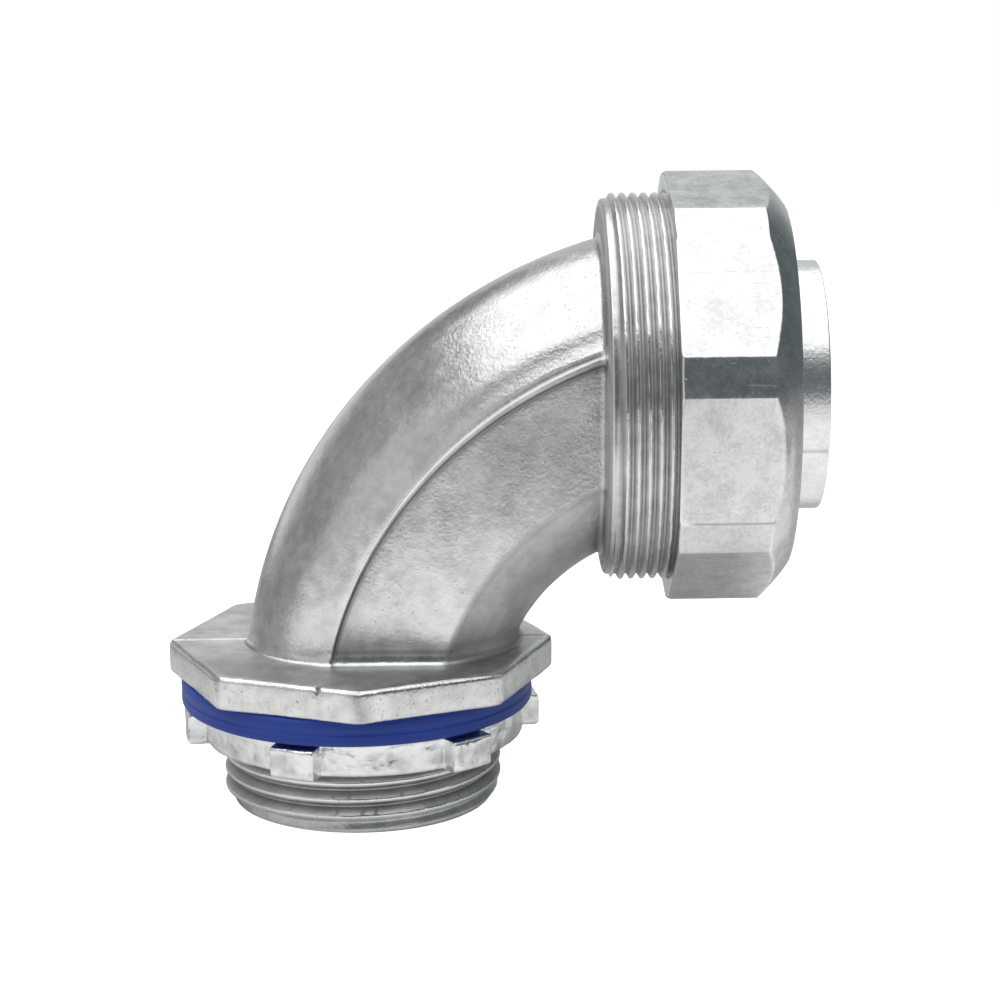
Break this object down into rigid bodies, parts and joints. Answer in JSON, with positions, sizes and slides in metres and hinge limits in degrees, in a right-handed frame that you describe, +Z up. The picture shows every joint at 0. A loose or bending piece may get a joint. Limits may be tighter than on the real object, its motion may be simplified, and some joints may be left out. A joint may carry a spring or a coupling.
{
  "type": "liquidtight conduit connector",
  "caption": "Ninety degree liquidtight conduit connector with a threaded hub, sealing ring, locknut, gland nut, compression ring and ferrule.",
  "frame": {"origin": "on the hub axis, at the flange's sealing face", "axes": "+Z up along the hub axis into the bend, so the hub points down -Z; +X along the gland axis, out of the gland nut"},
  "size_m": [0.0968, 0.0628, 0.0936],
  "materials": {
    "cast_zinc": "satin sand-textured casting",
    "nut_zinc": "bright satin casting",
    "natural_nylon": "plain",
    "ferrule_steel": "zinc plated",
    "blue_gasket": "smooth flexible ring",
    "locknut_zinc": "rough casting"
  },
  "bodies": {
    "elbow": {"elbow_body": "cast_zinc", "ferrule": "ferrule_steel"},
    "gasket": {"hub_gasket": "blue_gasket"},
    "hub_locknut": {"locknut": "locknut_zinc"},
    "ring": {"compression_ring": "natural_nylon"},
    "nut": {"gland_nut": "nut_zinc"}
  },
  "joints": [
    {"name": "gasket_slide", "type": "slide", "parent": "elbow", "child": "gasket", "axis": [0, 0, 1], "range_m": [-0.0075, 0]},
    {"name": "locknut_turn", "type": "hinge", "parent": "gasket", "child": "hub_locknut", "pos_m": [0, 0, -0.0066], "axis": [0, 0, 1], "range_deg": [-1080, 0]},
    {"name": "ring_slide", "type": "slide", "parent": "elbow", "child": "ring", "axis": [1, 0, 0], "range_m": [-0.0031, 0.0048]},
    {"name": "gland_nut_turn", "type": "hinge", "parent": "ring", "child": "nut", "pos_m": [0.0542, 0, 0.043], "axis": [1, 0, 0], "range_deg": [-680, 1080]}
  ],
  "couplings": [
    {"joint": "gasket_slide", "follows": "locknut_turn", "m_per_rad": 0.00039789},
    {"joint": "ring_slide", "follows": "gland_nut_turn", "m_per_rad": 0.00025266}
  ]
}
